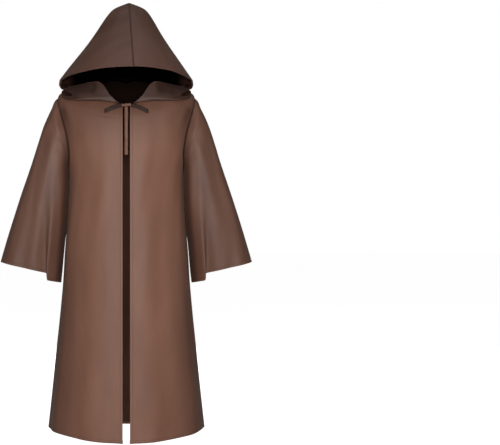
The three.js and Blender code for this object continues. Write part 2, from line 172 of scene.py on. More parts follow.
def cloth_material(name, dark, light, stitch=STITCH_LINE, edge_highlight=0.45, seam=(0.009, 1.0), deep_shade=None,
                   gloss=0.28, sheen=0.05):
    """Dyed polyester twill with a soft sheen. dark and light are the two ends of its uneven tone,
    stitch is how far the stitching runs from a turned edge, edge_highlight how much of the light tone
    that edge takes as a painted highlight, seam how far and how much painted shade a seam lays on the
    cloth, deep_shade the colour of the painted shade far inside, and gloss and sheen its shine. The
    attribute full is painted shade: 1 where it darkens the colour most and 0 where it adds none."""
    material, tree, shader = new_material(name)
    cloth = new_node(tree, "ShaderNodeUVMap").outputs[0]
    weave = use_group(tree, weave_group, Cloth=cloth, Thread=THREAD_WIDTH)
    marks = {}
    for label, width, groove in (("hem", stitch, 0.0022), ("seam", 0.0, seam[0])):
        marks[label] = use_group(
            tree, edge_group, Distance=point_mark(tree, label), Width=width, Groove=groove).outputs

    def mixed(factor, first, second, blend="MIX"):
        made = tree.nodes.new("ShaderNodeMix")
        made.data_type = "RGBA"
        made.blend_type = blend
        return fill(tree, made, i0=factor, i6=first, i7=second).outputs[2]

    tone = new_node(tree, "ShaderNodeMapRange", Value=weave.outputs["Tone"], From_Min=0.3, From_Max=0.7)
    colour = mixed(tone.outputs[0], dark, light)
    colour = mixed(maths(tree, "MULTIPLY", weave.outputs["Slub"], 0.12), colour, light)
    # A painted highlight on the band from a turned edge to its stitching
    colour = mixed(maths(tree, "MULTIPLY", marks["hem"]["Band"], edge_highlight), colour, light)
    # Painted shade in the groove that the stitching pulls
    groove = maths(tree, "MULTIPLY", marks["hem"]["Line"], 0.55)
    colour = mixed(groove, colour, (0.45, 0.40, 0.38, 1.0), "MULTIPLY")
    # Painted shade along the seams, darkest at the seam itself
    seam_shade = maths(tree, "MULTIPLY", marks["seam"]["Line"], seam[1])
    colour = mixed(seam_shade, colour, (0.20, 0.15, 0.13, 1.0), "MULTIPLY")
    # Painted shade: the mark full darkens the colour, most where it is 1
    colour = mixed(point_mark(tree, "full"), colour, (0.30, 0.26, 0.25, 1.0), "MULTIPLY")
    # Painted shade inside the garment and on the tie's loops: the mark inside mixes in the given shade
    # colour
    if deep_shade:
        colour = mixed(point_mark(tree, "inside"), colour, deep_shade)
    rough = new_node(tree, "ShaderNodeMapRange", Value=weave.outputs["Slub"], To_Min=0.48, To_Max=0.62)
    raised = maths(tree, "MULTIPLY", weave.outputs["Height"], 0.00010)
    pulled = maths(tree, "MULTIPLY", marks["hem"]["Line"], -0.0006)
    pucker = new_node(tree, "ShaderNodeTexNoise", Vector=cloth, Scale=130.0, Detail=1.0)
    stitched = maths(tree, "ADD", marks["hem"]["Band"], marks["hem"]["Line"])
    near = new_node(tree, "ShaderNodeMapRange", Value=stitched)
    puckered = maths(tree, "MULTIPLY", maths(tree, "MULTIPLY", pucker.outputs[0], near.outputs[0]), 0.0005)
    height = maths(tree, "ADD", maths(tree, "ADD", raised, pulled), puckered)
    bump = new_node(tree, "ShaderNodeBump", Height=height, Strength=0.6, Distance=1.0)
    fill(tree, shader, Base_Color=colour, Roughness=rough.outputs[0], Specular_IOR_Level=gloss,
         Sheen_Weight=sheen, Sheen_Roughness=0.45, Sheen_Tint=(0.80, 0.62, 0.52, 1.0),
         Normal=bump.outputs[0])
    return material


tie_cloth = cloth_material("tie_cloth", TIE_COLOUR, TIE_LIGHT, stitch=0.0018, deep_shade=TIE_SHADE)


def run_along(points):
    """How far each point of a line lies from its start."""
    return np.concatenate([[0.0], np.cumsum(np.linalg.norm(np.diff(points, axis=0), axis=1))])


def unit(vectors):
    return vectors / np.linalg.norm(vectors, axis=-1)[..., None]


def curve(a, b, c, d, t):
    """The smooth curve from b, where t is 0, to c, where it is 1, between the neighbours a and d."""
    return b + 0.5 * t * (c - a + t * (2 * a - 5 * b + 4 * c - d + t * (3 * (b - c) + d - a)))


def smooth_path(stops, count):
    """count points at even steps along a smooth curve through the stops."""
    stops = np.asarray(stops, float)
    ends = np.vstack([2 * stops[0] - stops[1], stops, 2 * stops[-1] - stops[-2]])
    fine = []
    for a, b, c, d in zip(ends, ends[1:], ends[2:], ends[3:]):
        for t in np.linspace(0.0, 1.0, 60, endpoint=False):
            fine.append(curve(a, b, c, d, t))
    fine = np.array(fine + [stops[-1]])
    run = run_along(fine)
    even = np.linspace(0.0, run[-1], count)
    return np.stack([np.interp(even, run, fine[:, axis]) for axis in range(3)], axis=1), run[-1]


def finished(name, points, faces, uvs, materials, **marks):
    """A smooth mesh object with its UV map in metres and a value for each mark at every point.
    Points in the same place are made one, so grids that share a line are joined along it."""
    mesh = bpy.data.meshes.new(name)
    mesh.from_pydata([tuple(point) for point in points], [], [tuple(face) for face in faces])
    layer = mesh.uv_layers.new(name="cloth")
    corners = np.array([loop.vertex_index for loop in mesh.loops])
    layer.data.foreach_set("uv", np.asarray(uvs, float)[corners].ravel())
    for label, values in marks.items():
        mark = mesh.attributes.new(label, "FLOAT", "POINT")
        mark.data.foreach_set("value", np.asarray(values, float).ravel())
    shape = bmesh.new()
    shape.from_mesh(mesh)
    bmesh.ops.remove_doubles(shape, verts=shape.verts, dist=0.00002)
    shape.to_mesh(mesh)
    shape.free()
    mesh.shade_smooth()
    for material in materials:
        mesh.materials.append(material)
    piece = bpy.data.objects.new(name, mesh)
    bpy.context.scene.collection.objects.link(piece)
    return piece


def faces_outward(mesh):
    shape = bmesh.new()
    shape.from_mesh(mesh)
    bmesh.ops.recalc_face_normals(shape, faces=shape.faces)
    shape.to_mesh(mesh)
    shape.free()


def tape_piece(name, path, across, shade):
    """Flat tape with soft edges along a path, its width lying along across, both ends closed. shade
    is how much painted shade it takes."""
    across = np.asarray(across, float) / np.linalg.norm(across)
    ways = unit(np.gradient(path, axis=0))
    thick = unit(np.cross(ways, across))
    wide = np.cross(thick, ways)
    half, side = TAPE_WIDTH / 2, TAPE_THICKNESS / 2
    upper = [(-1.0, 0.0), (-0.97, 0.7), (-0.86, 1.0), (-0.3, 0.92), (0.3, 0.92), (0.86, 1.0), (0.97, 0.7)]
    outline = upper + [(-w, -t) for w, t in upper]
    run = run_along(path)
    narrow = 1.0 - 0.05 * np.sin(run * 95.0) ** 2
    points, uvs, hem = [], [], []
    for step, middle in enumerate(path):
        for w, t in outline:
            points.append(middle + wide[step] * w * half * narrow[step] + thick[step] * t * side)
            uvs.append((w * half, run[step]))
            hem.append(half * (1.0 - abs(w)))
    count = len(outline)
    faces = []
    for here in range(0, (len(path) - 1) * count, count):
        for c in range(count):
            d = (c + 1) % count
            faces.append((here + c, here + d, here + count + d, here + count + c))
    faces.append(tuple(range(count))[::-1])
    faces.append(tuple((len(path) - 1) * count + c for c in range(count)))
    piece = finished(name, points, faces, uvs, [tie_cloth], hem=hem, seam=[1.0] * len(points),
                     inside=[shade] * len(points))
    faces_outward(piece.data)
    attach(piece, "root")
    return piece


tie_routes = {
    "tie_tail_short": ((1.0, 0.0, 0.0), "bare",
                       [(0.0, -0.1302, -0.0969), (0.0005, -0.137, -0.125), (0.0, -0.145, -0.160),
                        (0.0, -0.153, -0.216)]),
    "tie_tail_long": ((1.0, 0.0, 0.0), "bare",
                      [(0.0, -0.1262, -0.0972), (-0.0005, -0.132, -0.125), (0.0, -0.140, -0.170),
                       (0.0, -0.149, -0.225), (0.0, -0.157, -0.271)]),
    "tie_loop_right": ((0.0, 0.3, 1.0), "object",
                       [(0.018, -0.1332, -0.090), (0.050, -0.143, -0.100), (0.070, -0.148, -0.111),
                        (0.078, -0.1455, -0.114), (0.072, -0.1405, -0.1095), (0.050, -0.137, -0.098),
                        (0.0223, -0.129, -0.089)]),
    "tie_loop_left": ((0.0, 0.3, 1.0), "object",
                      [(-0.0176, -0.1329, -0.090), (-0.048, -0.143, -0.100), (-0.069, -0.148, -0.110),
                       (-0.077, -0.1455, -0.113), (-0.071, -0.1405, -0.1085), (-0.048, -0.137, -0.097),
                       (-0.0216, -0.1284, -0.089)]),
}
# The loops take painted shade, for the collar's shade over them; the tails take none
for tie_name, (tie_across, tie_end, tie_stops) in tie_routes.items():
    tie_path, tie_length = smooth_path(tie_stops, 38)
    tie_piece = tape_piece("cloth_" + tie_name, tie_path, tie_across, 0.0 if tie_end == "bare" else 0.9)
    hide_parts(tie_name)

# Knot of the tie
# The two strips pass through each other twice and are pulled tight, so the knot is a short roll of
# squeezed tape with one turn wrapped round its middle. It lies in the gap between the fronts.
KNOT_MIDDLE = (0.0, -0.1272, -0.090)


def nothing_selected():
    bpy.ops.object.select_all(action="DESELECT")


def place_applied(piece):
    """The piece's place and turn go into its mesh, and its object stands at the origin."""
    nothing_selected()
    piece.select_set(True)
    bpy.context.view_layer.objects.active = piece
    bpy.ops.object.transform_apply(location=True, rotation=True, scale=True)


nothing_selected()
bpy.ops.mesh.primitive_cylinder_add(
    vertices=24, radius=0.0056, depth=0.036, location=KNOT_MIDDLE, rotation=(0.0, math.radians(90), 0.0))
knot_roll = bpy.context.object
knot_roll.name = "cloth_tie_knot"
place_applied(knot_roll)
bpy.ops.object.mode_set(mode="EDIT")
bpy.ops.mesh.select_all(action="DESELECT")
knot_mesh = bmesh.from_edit_mesh(knot_roll.data)
for face in knot_mesh.faces:
    face.select = abs(face.normal.x) > 0.9
bmesh.update_edit_mesh(knot_roll.data)
bpy.ops.mesh.inset(thickness=0.0016, depth=-0.0008)
bpy.ops.mesh.inset(thickness=0.0015, depth=-0.0026)
for knot_cut in (-0.013, -0.0085, -0.0045, 0.0, 0.0045, 0.0085, 0.013):
    bpy.ops.mesh.select_all(action="SELECT")
    bpy.ops.mesh.bisect(plane_co=(knot_cut, 0.0, 0.0), plane_no=(1.0, 0.0, 0.0))
bpy.ops.object.mode_set(mode="OBJECT")
for vertex in knot_roll.data.vertices:
    off_x = vertex.co.x - KNOT_MIDDLE[0]
    off_y, off_z = vertex.co.y - KNOT_MIDDLE[1], vertex.co.z - KNOT_MIDDLE[2]
    turn = math.atan2(off_z, off_y)
    squeeze = 1.0 - 0.28 * math.exp(-(off_x / 0.006) ** 2) + 0.09 * math.sin(3 * turn + 260 * off_x)
    vertex.co.y = KNOT_MIDDLE[1] + off_y * squeeze
    vertex.co.z = KNOT_MIDDLE[2] + off_z * squeeze + 0.0012 * math.sin(150 * off_x)

nothing_selected()
bpy.ops.mesh.primitive_torus_add(
    location=KNOT_MIDDLE, rotation=(0.0, math.radians(90), 0.0), major_segments=32, minor_segments=12,
    major_radius=0.0046, minor_radius=0.0021)
knot_wrap = bpy.context.object
place_applied(knot_wrap)
bpy.ops.object.mode_set(mode="EDIT")
bpy.ops.mesh.select_all(action="SELECT")
bpy.ops.transform.resize(value=(2.3, 1.0, 1.0), center_override=KNOT_MIDDLE)
bpy.ops.object.mode_set(mode="OBJECT")
for vertex in knot_wrap.data.vertices:
    off_x = vertex.co.x - KNOT_MIDDLE[0]
    vertex.co.x += 0.0010 * math.sin(600 * (vertex.co.z - KNOT_MIDDLE[2]))
    vertex.co.y -= 0.0004 * math.sin(1500 * off_x)
nothing_selected()
knot_roll.select_set(True)
knot_wrap.select_set(True)
bpy.context.view_layer.objects.active = knot_roll
bpy.ops.object.join()
knot_soft = knot_roll.modifiers.new("soft", "SUBSURF")
knot_soft.levels = knot_soft.render_levels = 1
bpy.ops.object.modifier_apply(modifier="soft")
knot_roll.data.shade_smooth()
if not knot_roll.data.uv_layers:
    knot_roll.data.uv_layers.new(name="cloth")
knot_layer = knot_roll.data.uv_layers[0]
knot_layer.name = "cloth"
for loop in knot_roll.data.loops:
    corner = knot_roll.data.vertices[loop.vertex_index].co
    around = math.atan2(corner.z - KNOT_MIDDLE[2], corner.y - KNOT_MIDDLE[1])
    knot_layer.data[loop.index].uv = (corner.x, around * 0.006)
for knot_label, knot_value in (("hem", 0.004), ("seam", 1.0)):
    knot_mark = knot_roll.data.attributes.new(knot_label, "FLOAT", "POINT")
    knot_mark.data.foreach_set("value", [knot_value] * len(knot_roll.data.vertices))
knot_roll.data.materials.clear()
knot_roll.data.materials.append(tie_cloth)
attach(knot_roll, "root")
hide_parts("tie_knot")

# Back
# One wide panel of polyester twill, cut without a seam down its middle. It is sewn to the fronts
# over the shoulders and down the sides, and its hem is turned in once and stitched.
CLOTH_THICKNESS = 0.0009
# How far an edge is turned in, and how far that cloth stands off the cloth before it
TURN_WIDTH = 0.012
TURN_GAP = 0.0003
BODY_DARK = (0.152, 0.068, 0.043, 1.0)
BODY_LIGHT = (0.190, 0.088, 0.057, 1.0)
# BODY_INSIDE and BODY_SHADE make the inside a darker copy of the body's cloth, painted shade; the third
# colour is the painted shade far inside
BODY_INSIDE = (0.090, 0.043, 0.029, 1.0)
BODY_SHADE = (0.130, 0.064, 0.043, 1.0)
BODY_DEEP_SHADE = (0.0060, 0.0032, 0.0022, 1.0)
# The rings round the body, from the neckline to the hem:
# side_x, side_y, side_z, front_y, front_z, back_y, back_z, round (2 is an ellipse, more is fuller)
BODY_RINGS = np.array([
    (0.097, 0, 0.012, -0.120, -0.091, 0.107, 0.033, 2.1),
    (0.165, 0, -0.002, -0.128, -0.103, 0.112, 0.024, 2.2),
    (0.228, 0, -0.028, -0.136, -0.121, 0.117, 0.007, 2.3),
    (0.253, 0, -0.054, -0.142, -0.142, 0.120, -0.014, 2.3),
    (0.250, 0, -0.120, -0.150, -0.190, 0.124, -0.075, 2.4),
    (0.238, 0, -0.190, -0.157, -0.245, 0.128, -0.150, 2.4),
    (0.222, 0, -0.265, -0.163, -0.300, 0.131, -0.235, 2.4),
    (0.212, 0, -0.335, -0.167, -0.350, 0.133, -0.320, 2.4),
    (0.213, 0, -0.430, -0.171, -0.440, 0.137, -0.425, 2.4),
    (0.219, 0, -0.520, -0.174, -0.528, 0.144, -0.520, 2.4),
    (0.228, 0, -0.620, -0.178, -0.630, 0.153, -0.625, 2.4),
    (0.235, 0, -0.730, -0.182, -0.742, 0.163, -0.738, 2.3),
    (0.247, 0, -0.860, -0.187, -0.875, 0.174, -0.872, 2.3),
    (0.261, 0, -0.990, -0.191, -1.010, 0.184, -1.008, 2.2),
    (0.275, 0, -1.125, -0.196, -1.148, 0.193, -1.148, 2.2),
    (0.290, 0, -1.265, -0.201, -1.295, 0.201, -1.292, 2.1),
])
TIP_ROW, UNDERARM_ROW = 3, 7
ARMHOLE_SPREAD = math.radians(29)
# How far a sleeve stands off the body where it is sewn on, how far two pieces lap at a seam, and how
# far and how widely a seam draws the cloth in
SEAM_GAP = 0.0003
SEAM_LAP = 0.0005
SEAM_DRAW = 0.0015
SEAM_SPREAD = 0.005
# The soft folds that hang from the shoulders, round the body from the middle of the front, negative
# on the left: angle at the top and at the hem, first and last row, spread, height (below 0 a trough)
BODY_FOLDS = (
    (-20, -23, 3.0, 16.0, 7.0, 0.0045), (-40, -42, 4.5, 16.0, 7.0, -0.0045),
    (-58, -60, 7.5, 16.0, 6.0, 0.0040), (-9, -8, 8.0, 16.0, 3.5, -0.0025),
    (-78, -75, 8.5, 16.0, 7.0, -0.0050),
    (14, 16, 3.4, 16.0, 6.0, 0.0042), (33, 36, 4.2, 16.0, 8.0, -0.0050), (53, 52, 7.0, 16.0, 6.5, 0.0038),
    (71, 73, 8.8, 16.0, 6.0, -0.0045),
    (-170, -166, 1.5, 16.0, 9.0, 0.0050), (-146, -142, 1.2, 16.0, 9.0, -0.0070),
    (-122, -120, 7.2, 16.0, 8.0, 0.0045), (-100, -103, 9.0, 16.0, 7.0, -0.0045),
    (163, 160, 2.2, 16.0, 9.0, 0.0042), (143, 139, 1.0, 16.0, 8.0, -0.0065),
    (118, 121, 7.0, 16.0, 8.0, 0.0050), (98, 100, 9.4, 16.0, 7.0, -0.0040),
)
ARMHOLE_TROUGH = {"top_row": 3.2, "low_row": 6.6, "away": 0.16, "spread": 0.09, "depth": 0.007}


def read_rows(table, place):
    """A table read between its rows on a smooth curve: place 2.5 is half-way from row 2 to row 3."""
    place = np.asarray(place, float)
    last = len(table) - 1
    row = np.clip(np.floor(place).astype(int), 0, last - 1)
    t = (place - row)[(...,) + (None,) * (table.ndim - 1)]
    return curve(*(table[np.clip(row + step, 0, last)] for step in (-1, 0, 1, 2)), t)


def smooth_step(start, end, value):
    t = np.clip((value - start) / (end - start), 0.0, 1.0)
    return t * t * (3 - 2 * t)


def hump(off, spread):
    return np.exp(-((off / spread) ** 2) / 2)


def ring_point(ring, angle):
    """A place on a ring: angle 0 is its front, a quarter turn its side and a half turn its back."""
    s, c, full = np.sin(angle), np.cos(angle), ring[..., 7]
    reach = (np.abs(s) ** full + np.abs(c) ** full) ** (-1 / full)
    middle_y = np.where(c > 0, ring[..., 3], ring[..., 5])
    middle_z = np.where(c > 0, ring[..., 4], ring[..., 6])
    return np.stack([
        ring[..., 0] * s * reach,
        ring[..., 1] + (middle_y - ring[..., 1]) * np.abs(c) * reach,
        ring[..., 2] + (middle_z - ring[..., 2]) * c * c], axis=-1)


def from_front(angle):
    """An angle on either side as one between 0 at the front and a half turn at the back."""
    return np.abs((angle + math.pi) % (2 * math.pi) - math.pi)


def armhole_angle(row):
    """How far the armhole reaches to each side of the shoulder and side seam."""
    off = (row - (TIP_ROW + UNDERARM_ROW) / 2) / ((UNDERARM_ROW - TIP_ROW) / 2)
    return ARMHOLE_SPREAD * np.sqrt(np.clip(1 - off * off, 0.0, None))


def body_shape(row, angle):
    point = ring_point(read_rows(BODY_RINGS, row), angle)
    trough = ARMHOLE_TROUGH
    along = smooth_step(trough["top_row"], trough["top_row"] + 1, row)
    along = along * (1 - smooth_step(trough["low_row"] - 2, trough["low_row"], row))
    beside = math.pi / 2 - armhole_angle(row) - trough["away"]
    point[..., 1] += trough["depth"] * along * hump(from_front(angle) - beside, trough["spread"])
    return point


def body_lift(row, angle):
    """How far the folds lift the cloth off the plain shape. It is nothing at the neckline."""
    lift = np.zeros(np.broadcast(row, angle).shape)
    degrees = np.degrees(angle)
    for top, low, first, last, spread, height in BODY_FOLDS:
        share = np.clip((row - first) / (last - first), 0.0, 1.0)
        middle = top + (low - top) * share + 1.2 * np.sin(1.3 * row + top)
        lift += height * np.sqrt(share) * hump((degrees - middle + 180) % 360 - 180, spread)
    lift += 0.0006 * smooth_step(1, 4, row) * np.sin(21 * angle + 1.6 * np.sin(0.8 * row) + 0.5 * row)
    return lift


def body_point(row, angle, lift=0.0):
    """Places on the body's cloth and its outward directions, (..., 6) in all."""
    row, angle = np.broadcast_arrays(np.asarray(row, float), np.asarray(angle, float))
    step = 0.01
    down = body_shape(row + step, angle) - body_shape(row - step, angle)
    around = body_shape(row, angle + step) - body_shape(row, angle - step)
    out = unit(np.cross(down, around))
    point = body_shape(row, angle) + out * (lift + body_lift(row, angle))[..., None]
    return np.concatenate([point, out], axis=-1)


def laid(sheet, edge):
    """A grid turned so that one of its edges is its last row."""
    if edge in ("top", "bottom"):
        return sheet if edge == "bottom" else sheet[::-1]
    return np.swapaxes(sheet, 0, 1) if edge == "last" else np.swapaxes(sheet, 0, 1)[::-1]


def laid_back(sheet, edge):
    if edge in ("top", "bottom"):
        return laid(sheet, edge)
    return np.swapaxes(sheet if edge == "last" else sheet[::-1], 0, 1)


def lengths_from(points, edge):
    """How far each point of a grid lies from one of its edges, along the cloth."""
    lying = laid(points, edge)[::-1]
    steps = np.linalg.norm(np.diff(lying, axis=0), axis=2)
    run = np.concatenate([np.zeros((1, lying.shape[1])), np.cumsum(steps, axis=0)])
    return laid_back(run[::-1], edge)


def marked(grid, hems=(), seams=()):
    """A grid of places and directions with two more values: how far each place is from a turned
    edge, and how far from a sewn seam. (rows, columns, 8)"""
    far = np.full(grid.shape[:2], 1.0)
    marks = []
    for edges in (hems, seams):
        marks.append(np.minimum.reduce([far] + [lengths_from(grid[..., :3], edge) for edge in edges]))
    return np.concatenate([grid, np.stack(marks, axis=-1)], axis=-1)


def line_inside(sheet, edge, distance):
    """The line that runs at a distance inside one edge of a sheet."""
    values = laid(sheet, edge)[::-1]
    run = laid(lengths_from(sheet[..., :3], edge), edge)[::-1]
    return np.array([[np.interp(distance, run[:, c], values[:, c, k]) for k in range(8)]
                     for c in range(values.shape[1])])


def turned_in(sheet, edge, width):
    """The cloth that is folded in at an edge and lies behind the sheet."""
    strip = []
    for distance, depth in ((0.0, 0.5), (0.0012, 1.0), (width * 0.5, 1.0), (width, 1.0)):
        line = line_inside(sheet, edge, distance)
        line[:, :3] -= line[:, 3:6] * depth * (2 * CLOTH_THICKNESS + TURN_GAP)
        strip.append(line)
    return laid_back(np.array(strip), edge)


def sheet_piece(name, grids, materials, inside, full, plumb=0):
    """A thin shell from grids whose rows go down the cloth and whose columns go round the body.
    inside and full give each place its share of these two marks of painted shade, plumb is the
    column that the weave's long threads follow."""
    points, faces, uvs, marks = [], [], [], []
    for grid in grids:
        rows, columns = grid.shape[:2]
        start = len(points)
        points.extend(grid[..., :3].reshape(-1, 3))
        across, down = lengths_from(grid[..., :3], "first"), lengths_from(grid[..., :3], "top")
        across = across - across[:, plumb][:, None]
        uvs.extend(np.stack([across, -down], axis=-1).reshape(-1, 2))
        marks.extend(grid[..., 6:8].reshape(-1, 2))
        ids = start + np.arange(rows * columns).reshape(rows, columns)
        corners = [ids[:-1, :-1], ids[1:, :-1], ids[1:, 1:], ids[:-1, 1:]]
        faces.extend(np.stack(corners, axis=-1).reshape(-1, 4))
    points, marks = np.array(points), np.array(marks)
    piece = finished(name, points, faces, uvs, materials, hem=marks[:, 0], seam=marks[:, 1],
                     inside=inside(points), full=full(points))
    wall = piece.modifiers.new("thickness", "SOLIDIFY")
    wall.thickness = CLOTH_THICKNESS
    wall.offset = -1
    wall.use_rim = True
    wall.material_offset = len(materials) - 1
    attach(piece, "root")
    return piece


def thread_material(name, colour):
    """Polyester sewing thread: two twisted plies with a dull shine."""
    material, tree, shader = new_material(name)
    place = new_node(tree, "ShaderNodeTexCoord").outputs["Object"]
    plies = new_node(tree, "ShaderNodeTexNoise", Vector=place, Scale=2400.0, Detail=1.0)
    tone = tree.nodes.new("ShaderNodeValToRGB")
    tone.color_ramp.elements[0].color = tuple(0.75 * part for part in colour[:3]) + (1.0,)
    tone.color_ramp.elements[1].color = colour
    tree.links.new(plies.outputs[0], tone.inputs[0])
    bump = new_node(tree, "ShaderNodeBump", Height=plies.outputs[0], Strength=0.5, Distance=0.0001)
    fill(tree, shader, Base_Color=tone.outputs[0], Normal=bump.outputs[0], Roughness=0.55)
    return material


thread = thread_material("sewing_thread", (0.20, 0.105, 0.075, 1.0))


def stitching(name, lines, pitch=0.0042, length=0.0030, radius=0.00028):
    """Lock stitches along lines of places and outward directions, as one mesh of short threads."""
    points, faces = [], []
    for line in lines:
        run = run_along(line[:, :3])
        if run[-1] < 2 * pitch:
            continue
        starts = np.arange(pitch / 2, run[-1] - length, pitch)
        at = {}
        for share in (0.0, 0.25, 0.75, 1.0):
            places = starts + share * length
            at[share] = np.stack([np.interp(places, run, line[:, k]) for k in range(6)], axis=1)
        for k in range(len(starts)):
            way = at[1.0][k, :3] - at[0.0][k, :3]
            out = at[0.25][k, 3:6]
            side = np.cross(way, out)
            side *= radius / np.linalg.norm(side)
            first = len(points)
            points.append(at[0.0][k, :3] - out * radius)
            for share in (0.25, 0.75):
                middle = at[share][k, :3] + out * radius * 0.6
                points.extend([middle + side, middle + out * radius, middle - side, middle - out * radius])
            points.append(at[1.0][k, :3] - out * radius)
            for c in range(4):
                d = (c + 1) % 4
                faces.append((first, first + 1 + d, first + 1 + c))
                faces.append((first + 1 + c, first + 1 + d, first + 5 + d, first + 5 + c))
                faces.append((first + 5 + c, first + 5 + d, first + 9))
    mesh = bpy.data.meshes.new(name)
    mesh.from_pydata([tuple(point) for point in points], [], faces)
    faces_outward(mesh)
    mesh.shade_smooth()
    mesh.materials.append(thread)
    piece = bpy.data.objects.new(name, mesh)
    bpy.context.scene.collection.objects.link(piece)
    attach(piece, "root")
    return piece


def body_depth(points):
    """How dark the inside is: little light falls down the neck."""
    return smooth_step(-0.34, -0.06, points[:, 2])


def body_painted_shade(points):
    """Painted shade at the sides, beside the armholes and below the collar; behind, the colour is darker at
    the sides and near the neck.
    """
    x, y, z = np.abs(points[:, 0]), points[:, 1], points[:, 2]
    wide = np.interp(-z, -BODY_RINGS[:, 2], BODY_RINGS[:, 0])
    sides = 0.55 * smooth_step(0.50, 0.95, x / wide) * smooth_step(-0.45, -0.95, z)
    collar = 0.42 * smooth_step(-0.26, -0.09, z) * (y < 0)
    armhole_x = np.interp(-z, [0.09, 0.15, 0.22, 0.30], [0.236, 0.224, 0.208, 0.204])
    armhole = 0.40 * hump(x - armhole_x, 0.012)
    armhole = armhole * smooth_step(-0.28, -0.20, z) * smooth_step(-0.08, -0.11, z)
    behind = 0.55 * smooth_step(0.25, 0.85, x / wide) + 0.25 * smooth_step(-0.20, -0.06, z)
    return np.clip(np.where(y < 0, sides + collar + armhole, 0.6 * sides + behind), 0.0, 1.0)


body_cloth = cloth_material("body_cloth", BODY_DARK, BODY_LIGHT)
# The inside is a darker copy of the body's cloth, painted shade
body_inside = cloth_material("body_cloth_inside", BODY_INSIDE, BODY_SHADE, deep_shade=BODY_DEEP_SHADE, gloss=0.0,
                             sheen=0.0)
ARMHOLE_STEPS = 96
body_rows = np.concatenate([
    np.linspace(0, TIP_ROW, 25)[:-1],
    TIP_ROW + (UNDERARM_ROW - TIP_ROW) * (1 - np.cos(np.linspace(0, math.pi, ARMHOLE_STEPS + 1))) / 2,
    np.linspace(UNDERARM_ROW, len(BODY_RINGS) - 1, 111)[1:]])


def close_at_ends(count, strength=0.6):
    """Shares from 0 to 1 that lie closer together towards both ends."""
    even = np.linspace(0, 1, count)
    return even - strength * np.sin(2 * math.pi * even) / (2 * math.pi)


def panel(first_angles, last_angles, shares, hems, seams):
    """A panel of the body between two angles on every row, drawn in a little along its seams."""
    angles = first_angles[:, None] + (last_angles - first_angles)[:, None] * shares
    flat = marked(body_point(body_rows[:, None], angles), hems, seams)
    flat[..., :3] -= flat[..., 3:6] * (SEAM_DRAW * np.exp(-(flat[..., 7] / SEAM_SPREAD) ** 2))[..., None]
    return flat


body_sizes = read_rows(BODY_RINGS, body_rows)
back_seam = math.pi / 2 - armhole_angle(body_rows) + SEAM_LAP / 2 / body_sizes[:, 5]
BACK_COLUMNS = 121
back_sheet = panel(math.pi - back_seam, math.pi + back_seam, close_at_ends(BACK_COLUMNS), ("bottom",),
                   ("top", "first", "last"))
back_hem = turned_in(back_sheet, "bottom", TURN_WIDTH)
back = sheet_piece("cloth_back", [np.concatenate([back_sheet, back_hem])], [body_cloth, body_inside],
                   body_depth, body_painted_shade, plumb=BACK_COLUMNS // 2)
back_line = line_inside(back_sheet, "bottom", STITCH_LINE)
back_stitches = stitching("stitches_back_hem", [back_line])
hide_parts("back")

# Fronts
# A left and a right panel of the same cloth. Each has its front edge and its hem turned in and
# stitched. The edges hang a little apart, so the inside of the back shows between them.
FRONT_GAP = 0.026
front_seam = math.pi / 2 - armhole_angle(body_rows) + SEAM_LAP / 2 / np.abs(body_sizes[:, 3])
front_edge = FRONT_GAP / 2 / body_sizes[:, 0]
for front_name, front_side in (("right", 1), ("left", -1)):
    open_edge, sewn_edge = ("first", "last") if front_side > 0 else ("last", "first")
    front_ends = (front_edge, front_seam) if front_side > 0 else (-front_seam, -front_edge)
    front_sheet = panel(*front_ends, close_at_ends(67), ("bottom", open_edge), ("top", sewn_edge))
    front_fold = turned_in(front_sheet, open_edge, TURN_WIDTH)
    front_parts = [front_fold, front_sheet] if front_side > 0 else [front_sheet, front_fold]
    front_whole = np.concatenate(front_parts, axis=1)
    front_whole = np.concatenate([front_whole, turned_in(front_whole, "bottom", TURN_WIDTH)])
    front = sheet_piece("cloth_front_" + front_name, [front_whole], [body_cloth, body_inside],
                        body_depth, body_painted_shade, plumb=0 if front_side > 0 else -1)
    front_lines = [line_inside(front_sheet, edge, STITCH_LINE) for edge in ("bottom", open_edge)]
    front_stitches = stitching(f"stitches_front_{front_name}", front_lines)
    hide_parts("front_" + front_name)

# Sleeves
# Two wide bells of one piece each, set into the armholes all round and closed by a seam under the
# arm. The cuff is turned in and stitched. Each sleeve's front laps over itself in one long fold.
SLEEVE_DARK = (0.110, 0.050, 0.033, 1.0)
SLEEVE_LIGHT = (0.140, 0.066, 0.044, 1.0)
# The rings down a sleeve, from the head to the cuff:
# outer_x, outer_z, inner_x, inner_z, front_y, back_y
SLEEVE_RINGS = np.array([
    (0.276, -0.095, 0.2105, -0.360, -0.092, 0.082),
    (0.307, -0.165, 0.2120, -0.428, -0.098, 0.084),
    (0.353, -0.308, 0.2175, -0.512, -0.098, 0.082),
    (0.395, -0.432, 0.2280, -0.588, -0.094, 0.078),
    (0.432, -0.548, 0.2355, -0.660, -0.088, 0.074),
    (0.464, -0.658, 0.2405, -0.709, -0.082, 0.068),
])
SLEEVE_ROUND = 2.4
SLEEVE_LAP = {"where": 0.68, "slant": 0.035, "spread": 0.045, "top_row": 1.4, "step": 0.022, "lap": 0.017,
              "drop": 0.025}
SLEEVE_TROUGH = {"where": 0.70, "spread": 0.13, "depth": 0.009}
